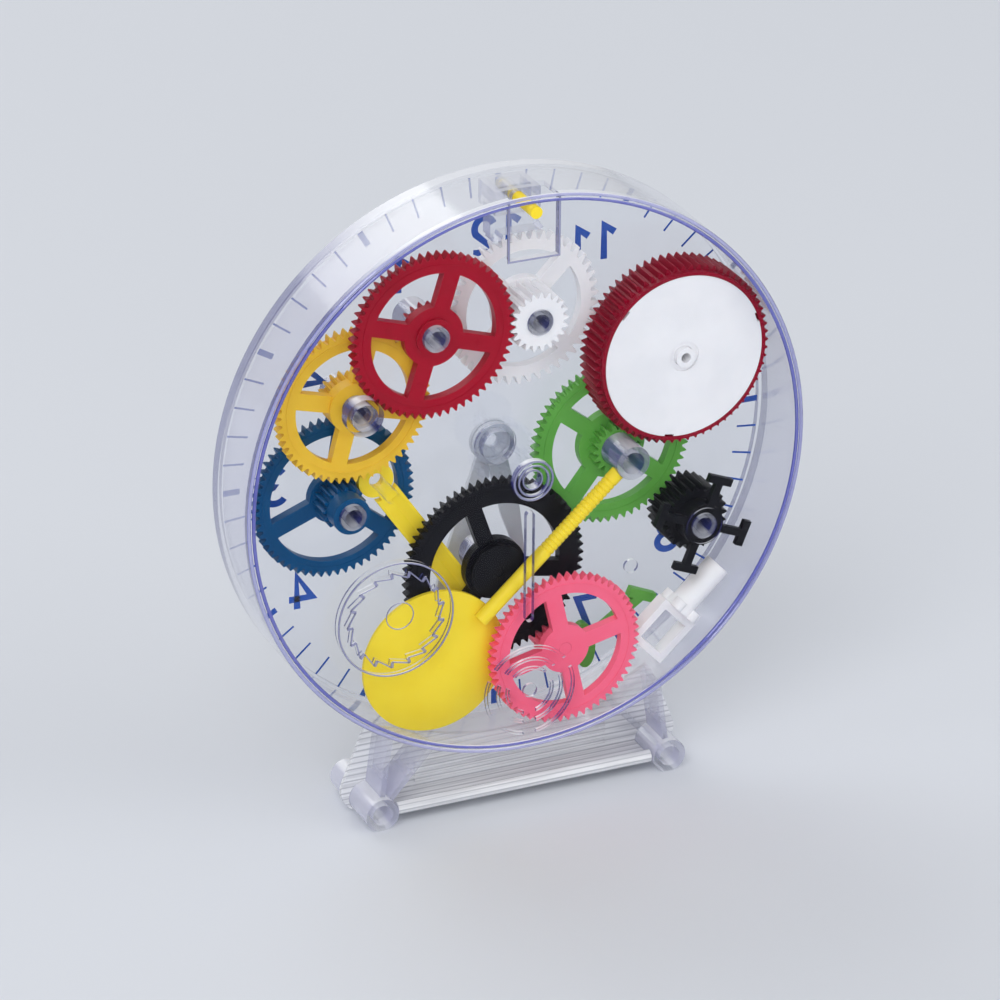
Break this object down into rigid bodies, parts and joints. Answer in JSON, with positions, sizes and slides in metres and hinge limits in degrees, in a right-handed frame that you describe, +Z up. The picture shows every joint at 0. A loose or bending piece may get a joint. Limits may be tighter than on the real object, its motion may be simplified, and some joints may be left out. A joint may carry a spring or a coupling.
{
  "type": "demonstration clock",
  "caption": "See-through drum clock on two feet, with coloured gears, spring barrel, hands and a pendulum stored behind the clear back.",
  "frame": {"origin": "on the floor under the middle of the clock, between its feet", "axes": "+X to the right of a person who faces the dial, +Y from the dial to the back, +Z up"},
  "size_m": [0.175, 0.032, 0.1928],
  "materials": {
    "clear_plastic": "clear, glossy, faint violet in the edges",
    "ribbed_clear_plastic": "clear, glossy, finely ribbed",
    "frosted_plastic": "milky, glossy",
    "red_plastic": "moulded, glossy",
    "crimson_plastic": "moulded, glossy",
    "white_plastic": "moulded, satin",
    "yellow_plastic": "moulded, glossy",
    "lemon_plastic": "moulded, satin",
    "blue_plastic": "moulded, glossy",
    "green_plastic": "moulded, glossy",
    "black_plastic": "moulded, glossy",
    "pink_plastic": "moulded, glossy",
    "spring_steel": "rolled strip"
  },
  "bodies": {
    "case": {"drum_case": "clear_plastic", "back_plate": "clear_plastic", "dial_plate": "clear_plastic", "base_apron": "ribbed_clear_plastic", "anchor_bracket": "frosted_plastic", "blue_post": "clear_plastic", "yellow_post": "clear_plastic", "red_post": "clear_plastic", "escape_post": "clear_plastic", "winder_post": "clear_plastic", "black_post": "clear_plastic", "green_tube": "clear_plastic", "pink_post": "pink_plastic", "barrel_arbor": "white_plastic", "minute_post": "clear_plastic", "pendulum_hanger": "lemon_plastic", "winding_key": "white_plastic", "crutch": "green_plastic"},
    "barrel": {"barrel_drum": "crimson_plastic", "barrel_cover": "white_plastic", "mainspring": "spring_steel"},
    "green": {"green_gear": "green_plastic"},
    "winder": {"winding_pinion": "black_plastic"},
    "centre": {"centre_arbor": "clear_plastic", "minute_hand": "white_plastic"},
    "minute_train": {"minute_wheel": "clear_plastic"},
    "hour": {"hour_wheel": "clear_plastic", "hour_hand": "white_plastic"},
    "black": {"black_gear": "black_plastic"},
    "pink": {"pink_gear": "pink_plastic"},
    "red": {"red_gear": "red_plastic"},
    "yellow": {"yellow_gear": "yellow_plastic"},
    "blue": {"blue_gear": "blue_plastic"},
    "escape": {"escape_wheel": "white_plastic"},
    "anchor": {"anchor": "frosted_plastic", "anchor_pin": "lemon_plastic"},
    "pendulum": {"pendulum_rod": "lemon_plastic", "pendulum_bob": "lemon_plastic"}
  },
  "joints": [
    {"name": "barrel_spin", "type": "hinge", "parent": "case", "child": "barrel", "pos_m": [-0.05025, 0, 0.13307], "axis": [0, -1, 0], "continuous": true},
    {"name": "green_spin", "type": "hinge", "parent": "case", "child": "green", "pos_m": [-0.03352, 0, 0.10301], "axis": [0, -1, 0], "continuous": true},
    {"name": "winder_spin", "type": "hinge", "parent": "case", "child": "winder", "pos_m": [-0.05706, 0, 0.07848], "axis": [0, -1, 0], "continuous": true},
    {"name": "centre_spin", "type": "hinge", "parent": "case", "child": "centre", "pos_m": [0, 0, 0.1053], "axis": [0, -1, 0], "continuous": true},
    {"name": "minute_train_spin", "type": "hinge", "parent": "case", "child": "minute_train", "pos_m": [0.006, 0, 0.11569], "axis": [0, -1, 0], "continuous": true},
    {"name": "hour_spin", "type": "hinge", "parent": "case", "child": "hour", "pos_m": [0, 0, 0.1053], "axis": [0, -1, 0], "continuous": true},
    {"name": "black_spin", "type": "hinge", "parent": "case", "child": "black", "pos_m": [0.0069, 0, 0.07364], "axis": [0, -1, 0], "continuous": true},
    {"name": "pink_spin", "type": "hinge", "parent": "case", "child": "pink", "pos_m": [-0.01266, 0, 0.04682], "axis": [0, -1, 0], "continuous": true},
    {"name": "red_spin", "type": "hinge", "parent": "case", "child": "red", "pos_m": [0.028, 0, 0.1521], "axis": [0, -1, 0], "continuous": true},
    {"name": "yellow_spin", "type": "hinge", "parent": "case", "child": "yellow", "pos_m": [0.05071, 0, 0.1325], "axis": [0, -1, 0], "continuous": true},
    {"name": "blue_spin", "type": "hinge", "parent": "case", "child": "blue", "pos_m": [0.0542, 0, 0.10189], "axis": [0, -1, 0], "continuous": true},
    {"name": "escape_spin", "type": "hinge", "parent": "case", "child": "escape", "pos_m": [-0.00478, 0, 0.15107], "axis": [0, -1, 0], "continuous": true},
    {"name": "anchor_rock", "type": "hinge", "parent": "case", "child": "anchor", "pos_m": [0, 0, 0.1881], "axis": [0, -1, 0], "range_deg": [-4, 4]},
    {"name": "pendulum_swing", "type": "hinge", "parent": "case", "child": "pendulum", "pos_m": [-0.03352, 0, 0.10301], "axis": [0, -1, 0], "range_deg": [0, 20]}
  ],
  "couplings": [
    {"joint": "green_spin", "follows": "barrel_spin", "ratio": -3.7778},
    {"joint": "winder_spin", "follows": "barrel_spin", "ratio": 9.6019},
    {"joint": "centre_spin", "follows": "barrel_spin", "ratio": 10.019},
    {"joint": "minute_train_spin", "follows": "barrel_spin", "ratio": -3.3398},
    {"joint": "hour_spin", "follows": "barrel_spin", "ratio": 0.83494},
    {"joint": "black_spin", "follows": "barrel_spin", "ratio": -1.7425},
    {"joint": "pink_spin", "follows": "barrel_spin", "ratio": 8.588},
    {"joint": "yellow_spin", "follows": "red_spin", "ratio": -0.31579},
    {"joint": "blue_spin", "follows": "red_spin", "ratio": 0.089474},
    {"joint": "escape_spin", "follows": "red_spin", "ratio": -2.9048}
  ]
}
